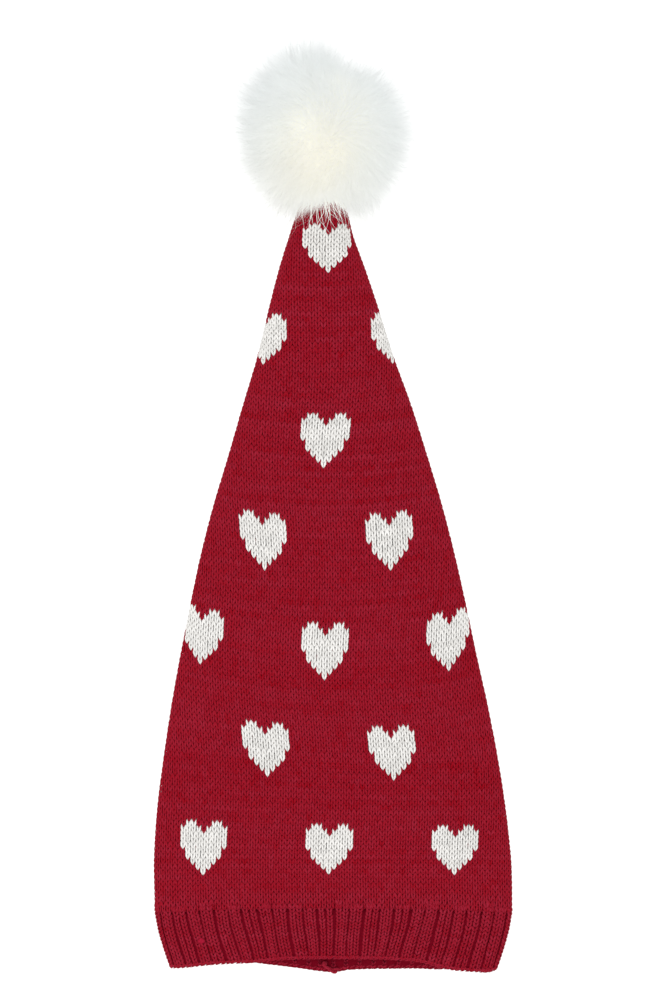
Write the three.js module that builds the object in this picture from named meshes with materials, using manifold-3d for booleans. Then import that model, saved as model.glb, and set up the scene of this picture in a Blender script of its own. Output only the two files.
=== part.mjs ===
// A knitted santa hat, lying flat: a tapering crown, the ribbed cuff at its mouth, a fur pompom
// on its tip, and the knot of yarn that ends the seam at the back.
// Millimetres. X runs across the hat, Y from the mouth to the pompom, and Z up from the surface
// that it lies on. The origin is at the bottom of the middle of the whole hat.
import * as THREE from "three";
import { mergeVertices } from "three/addons/utils/BufferGeometryUtils.js";
import Module from "manifold-3d";

const wasm = await Module();
wasm.setup();

// Driving dimensions
const pieceGap = 0.3; // clearance where two pieces meet

const flatWidth = 240; // the crown where it is widest
const crownLength = 480; // from the cuff to the closed tip
const layHeight = 22; // the flat tube at its middle, outside to outside
const foldHeight = 9; // the rounded fold at each side
const fabric = 2.6; // wall of the knitted crown, with the floats of its second yarn
const tipLift = 26; // how far the tip leaves the surface to meet the pompom

const cuffLength = 40;
const mouthWidth = 219; // the cuff at its lower edge
const cuffWall = 2.4;
const ribCount = 48;
const ribDepth = 1.5; // from the top of a rib to the bottom of the groove beside it
const cuffArch = 4.5; // how far the front layer is drawn up at the middle, where the cuff starts
const mouthArch = 8; // the same at the lower edge
const archReach = 62; // the arch has died away this far up the crown

const coreRadius = 44; // the backing ball that the fur grows from
const furLength = 14.5; // the longest lock, from the ball to its end
const furPressed = 9.5; // how much shorter the ball's weight makes the fur under it
const seatDepth = 2; // how far the crown's tip sits in the ball
const lockCount = 74;
const lockWidth = 20; // a lock at its root
const lockUneven = 3; // the shortest lock is this much shorter than the longest
const seatClear = 36; // degrees round the crown's tip with no lock

const knotWidth = 8;
const knotLength = 5;
const knotHeight = 4.4;

// The flat tube's outline: powers that fill out its sides and its low dome, and the sine of the
// angle where the underside meets the surface
const sideFullness = 0.8;
const domeFullness = 1.15;
const foldTurn = 0.42;

// Resolution of the faceted walls
const crownSides = 44;
const lockSides = 5;
const ballDetail = 3;
const knotSides = 12;
const ribSamples = 60; // places tried along each rib when the ribs are shared out
const turnStep = 0.02; // radians, for the direction in which the outline runs

// The crown from the cuff to the tip. along is a share of crownLength, width and shift of
// flatWidth, thick of layHeight, and lift of tipLift. The tip leans a little to the left.
const crownSections = [
  { along: 0.0, width: 0.998, shift: 0.0, thick: 0.95, lift: 0 },
  { along: 0.04, width: 1.0, shift: -0.001, thick: 0.98, lift: 0 },
  { along: 0.08, width: 0.997, shift: -0.003, thick: 1.0, lift: 0 },
  { along: 0.15, width: 0.972, shift: -0.006, thick: 1.0, lift: 0 },
  { along: 0.22, width: 0.932, shift: -0.008, thick: 1.0, lift: 0 },
  { along: 0.29, width: 0.884, shift: -0.011, thick: 0.99, lift: 0 },
  { along: 0.36, width: 0.828, shift: -0.014, thick: 0.98, lift: 0 },
  { along: 0.43, width: 0.771, shift: -0.015, thick: 0.97, lift: 0 },
  { along: 0.5, width: 0.71, shift: -0.016, thick: 0.96, lift: 0 },
  { along: 0.57, width: 0.636, shift: -0.017, thick: 0.95, lift: 0 },
  { along: 0.64, width: 0.55, shift: -0.018, thick: 0.94, lift: 0 },
  { along: 0.71, width: 0.463, shift: -0.021, thick: 0.93, lift: 0 },
  { along: 0.77, width: 0.383, shift: -0.025, thick: 0.92, lift: 0.02 },
  { along: 0.81, width: 0.337, shift: -0.028, thick: 0.91, lift: 0.08 },
  { along: 0.85, width: 0.292, shift: -0.031, thick: 0.9, lift: 0.2 },
  { along: 0.9, width: 0.231, shift: -0.034, thick: 0.87, lift: 0.46 },
  { along: 0.94, width: 0.18, shift: -0.034, thick: 0.83, lift: 0.7 },
  { along: 0.965, width: 0.15, shift: -0.032, thick: 0.78, lift: 0.86 },
  { along: 0.982, width: 0.126, shift: -0.031, thick: 0.7, lift: 0.97 },
  { along: 0.993, width: 0.09, shift: -0.03, thick: 0.52, lift: 1.16 },
  { along: 1.0, width: 0.045, shift: -0.03, thick: 0.26, lift: 1.36 },
];

// The cuff from the crown down to the mouth. along is a share of cuffLength, width blends from
// the crown's width (0) to mouthWidth (1), and thick is a share of the crown's first section.
const cuffSections = [
  { along: 0.0, width: 0.0, thick: 1.0 },
  { along: 0.3, width: 0.2, thick: 1.0 },
  { along: 0.65, width: 0.56, thick: 0.98 },
  { along: 1.0, width: 1.0, thick: 0.96 },
];

// One rib of the cuff: across is a share of the rib's pitch, out a share of ribDepth.
const ribShape = [
  { across: 0.0, out: 0.0 },
  { across: 0.22, out: 0.86 },
  { across: 0.52, out: 1.0 },
  { across: 0.82, out: 0.86 },
];

// One lock of fur: along is a share of its length, wide a share of lockWidth.
const lockShape = [
  { along: 0.0, wide: 1.0 },
  { along: 0.55, wide: 0.9 },
  { along: 0.86, wide: 0.5 },
];

// A table's column at any place along it, as a smooth curve through its rows
function valueAt(table, column, along) {
  const last = table.length - 2;
  const found = table.findIndex((row, i) => i > 0 && along < row.along) - 1;
  const i = found < 0 ? last : found;
  const slope = (k) => {
    const before = table[Math.max(k - 1, 0)];
    const after = table[Math.min(k + 1, table.length - 1)];
    return (after[column] - before[column]) / (after.along - before.along);
  };
  const span = table[i + 1].along - table[i].along;
  const t = THREE.MathUtils.clamp((along - table[i].along) / span, 0, 1);
  const t2 = t * t;
  const t3 = t2 * t;
  return (
    (2 * t3 - 3 * t2 + 1) * table[i][column] +
    (t3 - 2 * t2 + t) * span * slope(i) +
    (3 * t2 - 2 * t3) * table[i + 1][column] +
    (t3 - t2) * span * slope(i + 1)
  );
}

// The outline of a flat tube at one section, as a point at an angle round it: flat where it
// rests, a rounded fold at each side and a low dome on top. Angle 90 is the middle of the front.
function sectionPoint(angle, half, high, fold) {
  const c = Math.cos(angle);
  const s = Math.sin(angle);
  const across = half * Math.sign(c) * Math.abs(c) ** sideFullness;
  const middle = Math.min(fold, high) / 2;
  const turn = Math.min(1, Math.abs(s) / foldTurn);
  const up =
    s >= 0
      ? middle + (high - middle) * s ** domeFullness
      : middle * (1 - Math.sin((turn * Math.PI) / 2));
  return new THREE.Vector2(across, up);
}

// The same point moved inwards by a wall, square to the outline
function insetPoint(angle, half, high, fold, inset) {
  const here = sectionPoint(angle, half, high, fold);
  const before = sectionPoint(angle - turnStep, half, high, fold);
  const after = sectionPoint(angle + turnStep, half, high, fold);
  const run = after.sub(before).normalize();
  return here.add(new THREE.Vector2(-run.y, run.x).multiplyScalar(inset));
}

// How far a point of the front layer is drawn up, by its place across and along
function archAt(angle, height) {
  const front = Math.max(0, Math.sin(angle));
  const fades = THREE.MathUtils.smoothstep(archReach - height, 0, archReach);
  const below = THREE.MathUtils.clamp(-height / cuffLength, 0, 1);
  const drawn = height > 0 ? cuffArch * fades : THREE.MathUtils.lerp(cuffArch, mouthArch, below);
  return drawn * front * front;
}

// A point of the crown: height is from the cuff, in millimetres, and inset is into the wall
function crownPoint(angle, height, inset) {
  const along = height / crownLength;
  const half = (valueAt(crownSections, "width", along) * flatWidth) / 2;
  const high = valueAt(crownSections, "thick", along) * layHeight;
  const flat = insetPoint(angle, half, high, foldHeight, inset);
  return new THREE.Vector3(
    flat.x + valueAt(crownSections, "shift", along) * flatWidth,
    height + archAt(angle, height),
    flat.y + valueAt(crownSections, "lift", along) * tipLift,
  );
}

// A point of the cuff: depth is from the crown's edge down to the mouth
function cuffPoint(angle, depth, inset) {
  const along = depth / cuffLength;
  const crownWidth = crownSections[0].width * flatWidth;
  const crownHigh = crownSections[0].thick * layHeight;
  const width = THREE.MathUtils.lerp(crownWidth, mouthWidth, valueAt(cuffSections, "width", along));
  const high = valueAt(cuffSections, "thick", along) * crownHigh;
  const flat = insetPoint(angle, width / 2, high, foldHeight, inset);
  return new THREE.Vector3(flat.x, -depth + archAt(angle, -depth), flat.y);
}

// Merges shared vertices and drops the faces that collapsed at a pole
function closed(geometry) {
  geometry.deleteAttribute("normal");
  geometry.deleteAttribute("uv");
  const merged = mergeVertices(geometry, 1e-3);
  const index = merged.index.array;
  const kept = [];
  for (let i = 0; i < index.length; i += 3) {
    const [a, b, c] = index.slice(i, i + 3);
    if (a !== b && b !== c && c !== a) kept.push(a, b, c);
  }
  merged.setIndex(kept);
  merged.computeVertexNormals();
  return merged;
}

// A turned shell of rows and sides, each vertex then set by place(row, side). Where axisEnds is
// set the shell closes on the axis at its first and last row, and otherwise on itself.
function shell(rowCount, sides, axisEnds, place) {
  const profile = [];
  for (let row = 0; row < rowCount; row++) {
    const onAxis = axisEnds && (row === 0 || row === rowCount - 1);
    profile.push(new THREE.Vector2(onAxis ? 0 : 1, row));
  }
  const lathe = new THREE.LatheGeometry(profile, sides);
  const position = lathe.getAttribute("position");
  for (let side = 0; side <= sides; side++) {
    for (let row = 0; row < rowCount; row++) {
      const point = place(row, side % sides);
      position.setXYZ(side * rowCount + row, point.x, point.y, point.z);
    }
  }
  return closed(lathe);
}

function solid(geometry) {
  const made = new wasm.Manifold(
    new wasm.Mesh({
      numProp: 3,
      vertProperties: new Float32Array(geometry.getAttribute("position").array),
      triVerts: new Uint32Array(geometry.index.array),
    }),
  );
  return made;
}

function geometryOf(made) {
  const mesh = made.getMesh();
  const geometry = new THREE.BufferGeometry();
  geometry.setAttribute("position", new THREE.BufferAttribute(mesh.vertProperties, 3));
  geometry.setIndex(new THREE.BufferAttribute(mesh.triVerts, 1));
  geometry.computeVertexNormals();
  return geometry;
}

function piece(name, geometry, color, roughness) {
  const material = new THREE.MeshStandardMaterial({ color, roughness, metalness: 0 });
  const mesh = new THREE.Mesh(geometry, material);
  mesh.name = name;
  return mesh;
}

// The crown's outer stations, from the tip to the cuff, and the poles just past them
const edgeHeight = pieceGap / 2;
const stations = crownSections.map((row) => Math.max(row.along * crownLength, edgeHeight)).reverse();

function middleOf(height) {
  const front = crownPoint(Math.PI / 2, height, 0);
  const back = crownPoint(-Math.PI / 2, height, 0);
  return front.add(back).multiplyScalar(0.5);
}

// The crown with its wall: the outer wall from the tip to the cuff, then the inner wall back up
function crownGeometry() {
  const tipWall = 3 * fabric; // the drawn-together tip
  const innerEnd = crownLength - tipWall;
  const inner = stations.filter((height) => height < innerEnd - fabric).reverse();
  const rows = [
    { pole: middleOf(crownLength) },
    ...stations.map((height) => ({ height, inset: 0 })),
    ...inner.map((height) => ({ height, inset: fabric })),
    { pole: middleOf(innerEnd) },
  ];
  return shell(rows.length, crownSides, true, (row, side) => {
    const { pole, height, inset } = rows[row];
    return pole ?? crownPoint((side / crownSides) * 2 * Math.PI, height, inset);
  });
}

// The crown's tip without its hollow and grown by the gap, to cut the pompom's seat with
function seatGeometry() {
  const reach = 1.5 * (coreRadius + furLength); // past the last fur that lies on the tip
  const heights = stations.filter((height) => height > crownLength - reach);
  const rows = [
    { pole: middleOf(crownLength).add(new THREE.Vector3(0, 2 * pieceGap, pieceGap)) },
    ...heights.map((height) => ({ height, inset: -pieceGap })),
    { pole: middleOf(heights.at(-1)) },
  ];
  return shell(rows.length, crownSides, true, (row, side) => {
    const { pole, height, inset } = rows[row];
    return pole ?? crownPoint((side / crownSides) * 2 * Math.PI, height, inset);
  });
}

// The angles that stand at even steps of length round the cuff, shared out by the ribs' shape
function ribAngles() {
  const samples = ribCount * ribSamples;
  const walked = [0];
  let last = cuffPoint(0, cuffLength / 2, 0);
  for (let i = 1; i <= samples; i++) {
    const next = cuffPoint((i / samples) * 2 * Math.PI, cuffLength / 2, 0);
    walked.push(walked[i - 1] + next.distanceTo(last));
    last = next;
  }
  const pitch = walked[samples] / ribCount;
  const angles = [];
  let i = 0;
  for (let rib = 0; rib < ribCount; rib++) {
    for (const { across, out } of ribShape) {
      const wanted = (rib + across) * pitch;
      while (walked[i + 1] < wanted) i++;
      const share = (wanted - walked[i]) / (walked[i + 1] - walked[i]);
      angles.push({ angle: ((i + share) / samples) * 2 * Math.PI, out });
    }
  }
  return angles;
}

// The ribbed cuff: its wall waves in and out, so that the grooves show on the inside as ribs
function cuffGeometry() {
  const angles = ribAngles();
  const depths = cuffSections.map((row) => Math.max(row.along * cuffLength, edgeHeight));
  const rows = [
    ...depths.map((depth) => ({ depth, wall: 0 })),
    ...[...depths].reverse().map((depth) => ({ depth, wall: cuffWall })),
  ];
  rows.push(rows[0]);
  return shell(rows.length, angles.length, false, (row, side) => {
    const { angle, out } = angles[side];
    const { depth, wall } = rows[row];
    return cuffPoint(angle, depth, wall + (1 - out) * ribDepth);
  });
}

// The middle of the pompom's ball: it rests on its pressed fur, with seatDepth over the crown's tip
const restHeight = coreRadius + furLength - furPressed;
const tipEnd = middleOf(crownLength);
const rise = restHeight - tipEnd.z;
const away = Math.sqrt((coreRadius - seatDepth) ** 2 - rise ** 2);
const ballMiddle = new THREE.Vector3(tipEnd.x, tipEnd.y + away, restHeight);

// One lock of fur: a tapered tuft, with its root sunk in the ball so that the two fuse
function lockGeometry(direction, reach) {
  const root = coreRadius - lockWidth / 3;
  const long = reach - root;
  const profile = [
    new THREE.Vector2(0, 0),
    ...lockShape.map((row) => new THREE.Vector2((row.wide * lockWidth) / 2, row.along * long)),
    new THREE.Vector2(0, long),
  ];
  const tuft = closed(new THREE.LatheGeometry(profile, lockSides));
  const turn = new THREE.Quaternion().setFromUnitVectors(new THREE.Vector3(0, 1, 0), direction);
  const place = ballMiddle.clone().addScaledVector(direction, root);
  tuft.applyMatrix4(new THREE.Matrix4().compose(place, turn, new THREE.Vector3(1, 1, 1)));
  return tuft;
}

// The pompom: locks spread evenly over the ball, shorter where the surface presses them, and
// the seat for the crown's tip cut into it
function pompomGeometry() {
  const ball = new THREE.IcosahedronGeometry(coreRadius, ballDetail).translate(...ballMiddle);
  let fur = solid(closed(ball));
  const toTip = tipEnd.clone().sub(ballMiddle).normalize();
  const golden = Math.PI * (3 - Math.sqrt(5));
  for (let i = 0; i < lockCount; i++) {
    const up = 1 - (2 * (i + 0.5)) / lockCount;
    const flat = Math.sqrt(1 - up * up);
    const direction = new THREE.Vector3(Math.cos(golden * i) * flat, Math.sin(golden * i) * flat, up);
    if (THREE.MathUtils.radToDeg(direction.angleTo(toTip)) < seatClear) continue;
    const shorter = (lockUneven * (1 + Math.sin(golden * i))) / 2;
    fur = fur.add(solid(lockGeometry(direction, coreRadius + furLength - shorter)));
  }
  const below = 4 * (coreRadius + furLength);
  const surface = new THREE.BoxGeometry(below, below, below);
  surface.translate(ballMiddle.x, ballMiddle.y, -below / 2);
  return geometryOf(fur.subtract(solid(closed(surface))).subtract(solid(seatGeometry())));
}

// The knot of yarn at the end of the back seam, against the cuff's lower edge on the underside
function knotGeometry() {
  const edge = cuffPoint(-Math.PI / 2, cuffLength, 0);
  const knot = new THREE.SphereGeometry(0.5, knotSides, knotSides / 2);
  knot.rotateX(Math.PI / 2).scale(knotWidth, knotLength, knotHeight);
  knot.translate(edge.x, edge.y - pieceGap - knotLength / 2, knotHeight / 2);
  return closed(knot);
}

const hat = new THREE.Group();
const red = 0x8d1826;
const white = 0xf0f0ea;
hat.add(piece("crown", crownGeometry(), red, 0.9));
hat.add(piece("rib_cuff", cuffGeometry(), red, 0.9));
hat.add(piece("pompom", pompomGeometry(), white, 0.95));
hat.add(piece("seam_knot", knotGeometry(), red, 0.9));

// The origin goes to the bottom of the middle of the hat
const box = new THREE.Box3().setFromObject(hat);
const middle = box.getCenter(new THREE.Vector3());
hat.children.forEach((mesh) => mesh.geometry.translate(-middle.x, -middle.y, -box.min.z));

export default hat;
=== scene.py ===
"""Dresses a knitted santa hat that lies flat: every stitch of the crown, the ribbed cuff, the knot of
the back seam and the fur of the pompom, in the frame of the hat's plain solids.

Metres. X runs across the hat, Y from the mouth to the pompom, and Z up from the floor. Most pieces
are placed by the fabric's own measures: across, the distance along the fabric from the middle of a
layer, and height, the distance up from the edge between the crown and its cuff.
"""

import math

import bmesh
import bpy
import numpy as np
from bpy.props import FloatProperty, FloatVectorProperty, IntProperty, PointerProperty
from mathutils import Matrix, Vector


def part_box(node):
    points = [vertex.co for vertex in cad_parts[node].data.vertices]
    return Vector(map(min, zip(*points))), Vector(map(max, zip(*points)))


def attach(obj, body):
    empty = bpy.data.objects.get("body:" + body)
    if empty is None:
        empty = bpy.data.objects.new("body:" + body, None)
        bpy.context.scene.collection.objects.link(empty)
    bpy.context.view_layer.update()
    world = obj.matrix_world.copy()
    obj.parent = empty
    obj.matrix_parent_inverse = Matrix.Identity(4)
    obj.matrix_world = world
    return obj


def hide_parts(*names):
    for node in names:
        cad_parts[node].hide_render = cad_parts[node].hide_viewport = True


bl_info = {
    "name": "Knitted Santa Hat",
    "version": (1, 0, 0),
    "blender": (4, 5, 0),
    "location": "3D View > Sidebar > Santa Hat",
    "description": "Knits a santa hat with hearts, a ribbed cuff and a fur pompom",
    "category": "Add Mesh",
}

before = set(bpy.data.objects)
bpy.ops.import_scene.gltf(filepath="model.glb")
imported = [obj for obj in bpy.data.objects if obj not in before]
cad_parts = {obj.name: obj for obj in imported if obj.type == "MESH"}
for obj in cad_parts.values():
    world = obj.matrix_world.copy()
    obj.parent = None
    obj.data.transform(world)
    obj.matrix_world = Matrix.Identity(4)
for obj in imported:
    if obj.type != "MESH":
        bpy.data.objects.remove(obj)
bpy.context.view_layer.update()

MM = 0.001
FRONT = 1
BACK = -1


def table(columns, *rows):
    """A short table with named columns, as one array for each column."""
    return dict(zip(columns.split(), np.array(rows, dtype=float).T))


def linear(hexa):
    """An sRGB hex colour as a linear one with its alpha."""
    parts = [int(hexa[i : i + 2], 16) / 255 for i in (1, 3, 5)]
    return [c / 12.92 if c <= 0.04045 else ((c + 0.055) / 1.055) ** 2.4 for c in parts] + [1.0]


def length_setting(name, description, default):
    """One of the hat's sizes, in metres."""
    return FloatProperty(name=name, description=description, default=default, unit="LENGTH")


def colour_setting(name, description, hexa):
    """One of the hat's colours."""
    default = linear(hexa)[:3]
    return FloatVectorProperty(name=name, description=description, subtype="COLOR", default=default)


# The crown's solid, as its source has it: along is a share of its length, width and shift of the
# flat width, thick of its height where it lies, and lift of the tip's lift
CROWN = table(
    "along width shift thick lift",
    (0.0, 0.998, 0.0, 0.95, 0),
    (0.04, 1.0, -0.001, 0.98, 0),
    (0.08, 0.997, -0.003, 1.0, 0),
    (0.15, 0.972, -0.006, 1.0, 0),
    (0.22, 0.932, -0.008, 1.0, 0),
    (0.29, 0.884, -0.011, 0.99, 0),
    (0.36, 0.828, -0.014, 0.98, 0),
    (0.43, 0.771, -0.015, 0.97, 0),
    (0.5, 0.71, -0.016, 0.96, 0),
    (0.57, 0.638, -0.016, 0.95, 0),
    (0.64, 0.554, -0.016, 0.94, 0),
    (0.71, 0.469, -0.018, 0.93, 0),
    (0.77, 0.389, -0.022, 0.92, 0.02),
    (0.81, 0.343, -0.025, 0.91, 0.08),
    (0.85, 0.298, -0.028, 0.9, 0.2),
    (0.9, 0.236, -0.032, 0.87, 0.46),
    (0.94, 0.18, -0.034, 0.83, 0.7),
    (0.965, 0.15, -0.032, 0.78, 0.86),
    (0.982, 0.126, -0.031, 0.7, 0.97),
    (0.993, 0.09, -0.03, 0.52, 1.16),
    (1.0, 0.045, -0.03, 0.26, 1.36),
)

# The cuff's solid: along is a share of its length, width goes from the crown's (0) to the mouth's
# (1), and thick is a share of the crown's first section
CUFF = table(
    "along width thick",
    (0.0, 0.0, 1.0),
    (0.3, 0.2, 1.0),
    (0.65, 0.56, 0.98),
    (1.0, 1.0, 0.96),
)

# One rib of the cuff: across is a share of the rib's pitch, out a share of its depth
RIB = table(
    "across out",
    (0.0, 0.0),
    (0.22, 0.86),
    (0.52, 1.0),
    (0.82, 0.86),
    (1.0, 0.0),
)

# Where the rows of stitches lie on the front: row counts up from the cuff, height is where the row
# crosses the middle, smile is how much higher it runs at the side folds, and tilt is its slope
ROWS = table(
    "row height smile tilt",
    (0, 0.0, 0.0, 0.0),
    (7, 25.4, 0.0, 0.0),
    (26, 91.3, 3.0, 0.03),
    (45, 157.1, 13.0, 0.02),
    (64, 228.0, 10.0, 0.0),
    (83, 298.2, 8.0, 0.0),
    (102, 364.0, 5.0, 0.0),
    (121, 427.1, 3.0, 0.0),
    (139, 482.0, 0.0, 0.0),
)

# Where the columns lie: height in millimetres, middle is the middle column's place across, and
# pitch is the width of a column
COLUMNS = table(
    "height middle pitch",
    (0, -2.8, 3.5),
    (28, -2.8, 3.5),
    (91, -0.2, 3.5),
    (157, -3.0, 3.48),
    (228, -0.2, 3.5),
    (298, -2.9, 3.6),
    (364, 2.3, 3.78),
    (427, 4.0, 3.86),
    (480, 6.0, 3.9),
)

# One heart, a stitch for each X, with the top row first
HEART = (
    ".XX...XX.",
    "XXXX.XXXX",
    "XXXXXXXXX",
    "XXXXXXXXX",
    "XXXXXXXXX",
    ".XXXXXXX.",
    ".XXXXXXX.",
    "..XXXXX..",
    "...XXX...",
    "....X....",
)
RIB_COUNT = 50  # ribs round the cuff
HEART_ROWS = 19  # from one row of hearts to the next
HEART_COLUMNS = 24  # from heart to heart in a row, and the next row is half of it aside
FIRST_HEART = 7  # the row with the first hearts' lowest stitch

# Half of a knitted stitch, from its foot to the end of its arm: across is a share of the column's
# pitch from the stitch's middle, along a share of the row's pitch, wide half its width as a share
# of the column's pitch, and out, in millimetres, how high the yarn's middle lies
ARM = table(
    "across along wide out",
    (0.0, -0.3, 0.0, -0.35),
    (0.125, 0.1, 0.13, 0.05),
    (0.245, 0.55, 0.245, 0.2),
    (0.325, 0.95, 0.185, 0.15),
    (0.46, 1.75, 0.0, -0.6),
)
PLAIN_ARM = {column: values[[0, 2, 3, 4]] for column, values in ARM.items()}

# How the mouth's edge runs: across is a share from the left fold to the right, and front and back
# are how far, in millimetres, each layer's edge is drawn up
MOUTH = table(
    "across front back",
    (-1.1, 3.0, 2.8),
    (-1.0, 2.8, 2.6),
    (-0.9, 2.1, 4.2),
    (-0.75, 2.2, 6.0),
    (-0.6, 1.9, 6.9),
    (-0.5, 1.6, 6.4),
    (-0.4, 2.1, 5.0),
    (-0.3, 2.7, 3.7),
    (-0.2, 2.9, 2.3),
    (-0.1, 2.9, 0.6),
    (0.0, 2.9, -0.3),
    (0.1, 2.8, 1.3),
    (0.3, 2.8, 1.9),
    (0.5, 2.1, 2.1),
    (0.6, 0.2, 1.6),
    (0.7, -1.6, 1.7),
    (0.85, -1.3, 2.2),
    (0.93, -0.6, 2.0),
    (1.0, 1.6, 1.6),
    (1.1, 1.8, 1.8),
)


class HatSizes(bpy.types.PropertyGroup):
    """The sizes of the hat, as its solids have them, and of its yarn and fur."""

    flat_width: length_setting("Flat width", "Crown where it is widest", 0.24)
    crown_length: length_setting("Crown length", "From the cuff to the closed tip", 0.48)
    lay_height: length_setting("Lying height", "The flat tube at its middle", 0.022)
    fold_height: length_setting("Fold height", "The rounded fold at each side", 0.009)
    tip_lift: length_setting("Tip lift", "How far the tip leaves the floor", 0.026)
    cuff_length: length_setting("Cuff length", "From the crown to the mouth", 0.04)
    mouth_width: length_setting("Mouth width", "The cuff at its lower edge", 0.219)
    cuff_wall: length_setting("Cuff wall", "Thickness of the ribbing", 0.0024)
    crown_wall: length_setting("Crown wall", "Thickness of the knit", 0.0018)
    rib_depth: length_setting("Rib depth", "From a rib's top to its groove", 0.0015)
    cuff_arch: length_setting("Cuff arch", "The front's rise where the cuff starts", 0.0045)
    mouth_arch: length_setting("Mouth arch", "Rise of the front at the mouth", 0.008)
    arch_reach: length_setting("Arch reach", "Where the rise has died away", 0.062)
    core_radius: length_setting("Core radius", "The ball that the fur grows from", 0.044)
    fur_length: length_setting("Fur length", "How far the fur stands out", 0.0145)
    fur_strands: IntProperty(name="Fur strands", description="Strands of fur", default=40000, min=100)


class HatColours(bpy.types.PropertyGroup):
    """The colours of the yarns and the fur."""

    red_deep: colour_setting("Red yarn, deep", "Between the fibres of the crown's yarn", "#8d0413")
    red_light: colour_setting("Red yarn, light", "On the fibres of the crown's yarn", "#972134")
    white_deep: colour_setting("White yarn, deep", "Between the fibres of the hearts' yarn", "#d2d0cc")
    white_light: colour_setting("White yarn, light", "On the fibres of the hearts' yarn", "#f3f1ee")
    rib_deep: colour_setting("Rib yarn, deep", "Between the fibres of the cuff's yarn", "#840212")
    rib_light: colour_setting("Rib yarn, light", "On the fibres of the cuff's yarn", "#9b2539")
    # Painted shade: the cuff's inside, from its lit edge to near black further in
    inside_deep: colour_setting("Inner yarn, deep", "The cuff's inside, in shade", "#2e020b")
    inside_light: colour_setting("Inner yarn, light", "The cuff's inside, at its edge", "#a01c32")
    fluff_deep: colour_setting("Fluff, deep", "The bit of fluff on the cuff", "#98142d")
    fluff_light: colour_setting("Fluff, light", "The bit of fluff on the cuff", "#ba3049")
    # Painted light: lighter than the red yarn, to lift the shade in the crown's openings
    ground_deep: colour_setting("Ground, deep", "The knit under the crown's stitches", "#a40e25")
    ground_light: colour_setting("Ground, light", "The knit under the crown's stitches", "#ae1932")
    # Painted shade: the cuff's knit, darkened where the grooves shade it
    rib_ground_shade_deep: colour_setting("Rib ground, deep", "The cuff's knit in its grooves", "#660314")
    rib_ground_shade_light: colour_setting("Rib ground, light", "The cuff's knit in its grooves", "#780a1d")
    # Painted shade: grey for the shade in the openings between the white stitches
    white_ground_shade_deep: colour_setting("Heart ground, deep", "The knit under the hearts", "#aaaaa8")
    white_ground_shade_light: colour_setting("Heart ground, light", "The knit under the hearts", "#c2c2c2")
    fur_warm: colour_setting("Fur, warm", "Low on the pompom and near its core", "#d5d1c5")
    fur_cool: colour_setting("Fur, cool", "At the top and the ends of the fur", "#ccd1d4")
    # The fur's painted glow: emission that stands in for the light its fibres pass on to each other
    fur_painted_glow_warm: colour_setting("Fur glow, warm", "Light passed on low and near the core", "#b1afa6")
    fur_painted_glow_cool: colour_setting("Fur glow, cool", "Light passed on at the top and ends", "#a7acb0")
    fur_core: colour_setting("Fur backing", "The ball that the fur grows from", "#cccbc3")


# Reading the tables


def value_at(rows, column, along):
    """A table's column at places along its first one, as a smooth curve through its rows."""
    places, values = next(iter(rows.values())), rows[column]
    last = len(places) - 1
    i = np.clip(np.searchsorted(places, along, side="right") - 1, 0, last - 1)

    def slope(k):
        before, after = np.maximum(k - 1, 0), np.minimum(k + 1, last)
        return (values[after] - values[before]) / (places[after] - places[before])

    span = places[i + 1] - places[i]
    t = np.clip((along - places[i]) / span, 0, 1)
    t2, t3 = t * t, t * t * t
    return (
        (2 * t3 - 3 * t2 + 1) * values[i]
        + (t3 - 2 * t2 + t) * span * slope(i)
        + (3 * t2 - 2 * t3) * values[i + 1]
        + (t3 - t2) * span * slope(i + 1)
    )


def smoothstep(x, low, high):
    """0 below the low value, 1 above the high one, and a soft rise between them."""
    t = np.clip((x - low) / (high - low), 0, 1)
    return t * t * (3 - 2 * t)


# The form of the hat, which its solids share

SIDE_FULLNESS = 0.8  # how square the flat tube's section is across
DOME_FULLNESS = 1.15  # how pointed its dome is
FOLD_TURN = 0.42  # the share of the underside that curves up to the fold
GRID_STEP = 1.5 * MM  # a layer's grid: its step along the hat, and its points across
GRID_ACROSS = 721
GRID_SPREAD = 1.07  # how far it runs round past the folds
SECTION_POINTS = 1201  # each section is walked in so many points, to this far past the folds
SECTION_PAST = math.radians(50)
WAVES_SIDE = (0.8, 1.0)  # where the soft waves die away, as a share across and in metres along
WAVES_END = (0.4, 0.46)
# The faint crease low on the front: its depth in millimetres, and its middle and size by across and
# height
CREASE_DEPTH = 0.8
CREASE_MIDDLE = (-3 * MM, 62 * MM)
CREASE_SIZE = (5 * MM, 26 * MM)
RIBS_START = (1.5 * MM, 5 * MM)  # where the ribs rise above the mouth, and end round their tops
RIBS_END = (-4 * MM, 5 * MM)
RIBS_DRAWN = 0.034  # how far ribs draw together towards the mouth, as a share across


def section_point(angle, half, high, fold):
    """The outline of the flat tube at a section: flat below, a fold at each side, a dome on top."""
    c, s = np.cos(angle), np.sin(angle)
    across = half * np.sign(c) * np.abs(c) ** SIDE_FULLNESS
    middle = np.minimum(fold, high) / 2
    turn = np.minimum(1, np.abs(s) / FOLD_TURN)
    dome = middle + (high - middle) * np.abs(s) ** DOME_FULLNESS
    under = middle * (1 - np.sin(turn * math.pi / 2))
    return across, np.where(s >= 0, dome, under)


def arch_at(sizes, angle, height):
    """How far the front layer is drawn up, most at its middle."""
    front = np.maximum(0, np.sin(angle))
    fades = smoothstep(sizes.arch_reach - height, 0, sizes.arch_reach)
    below = np.clip(-height / sizes.cuff_length, 0, 1)
    cuff = sizes.cuff_arch + (sizes.mouth_arch - sizes.cuff_arch) * below
    return np.where(height > 0, sizes.cuff_arch * fades, cuff) * front * front


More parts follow.
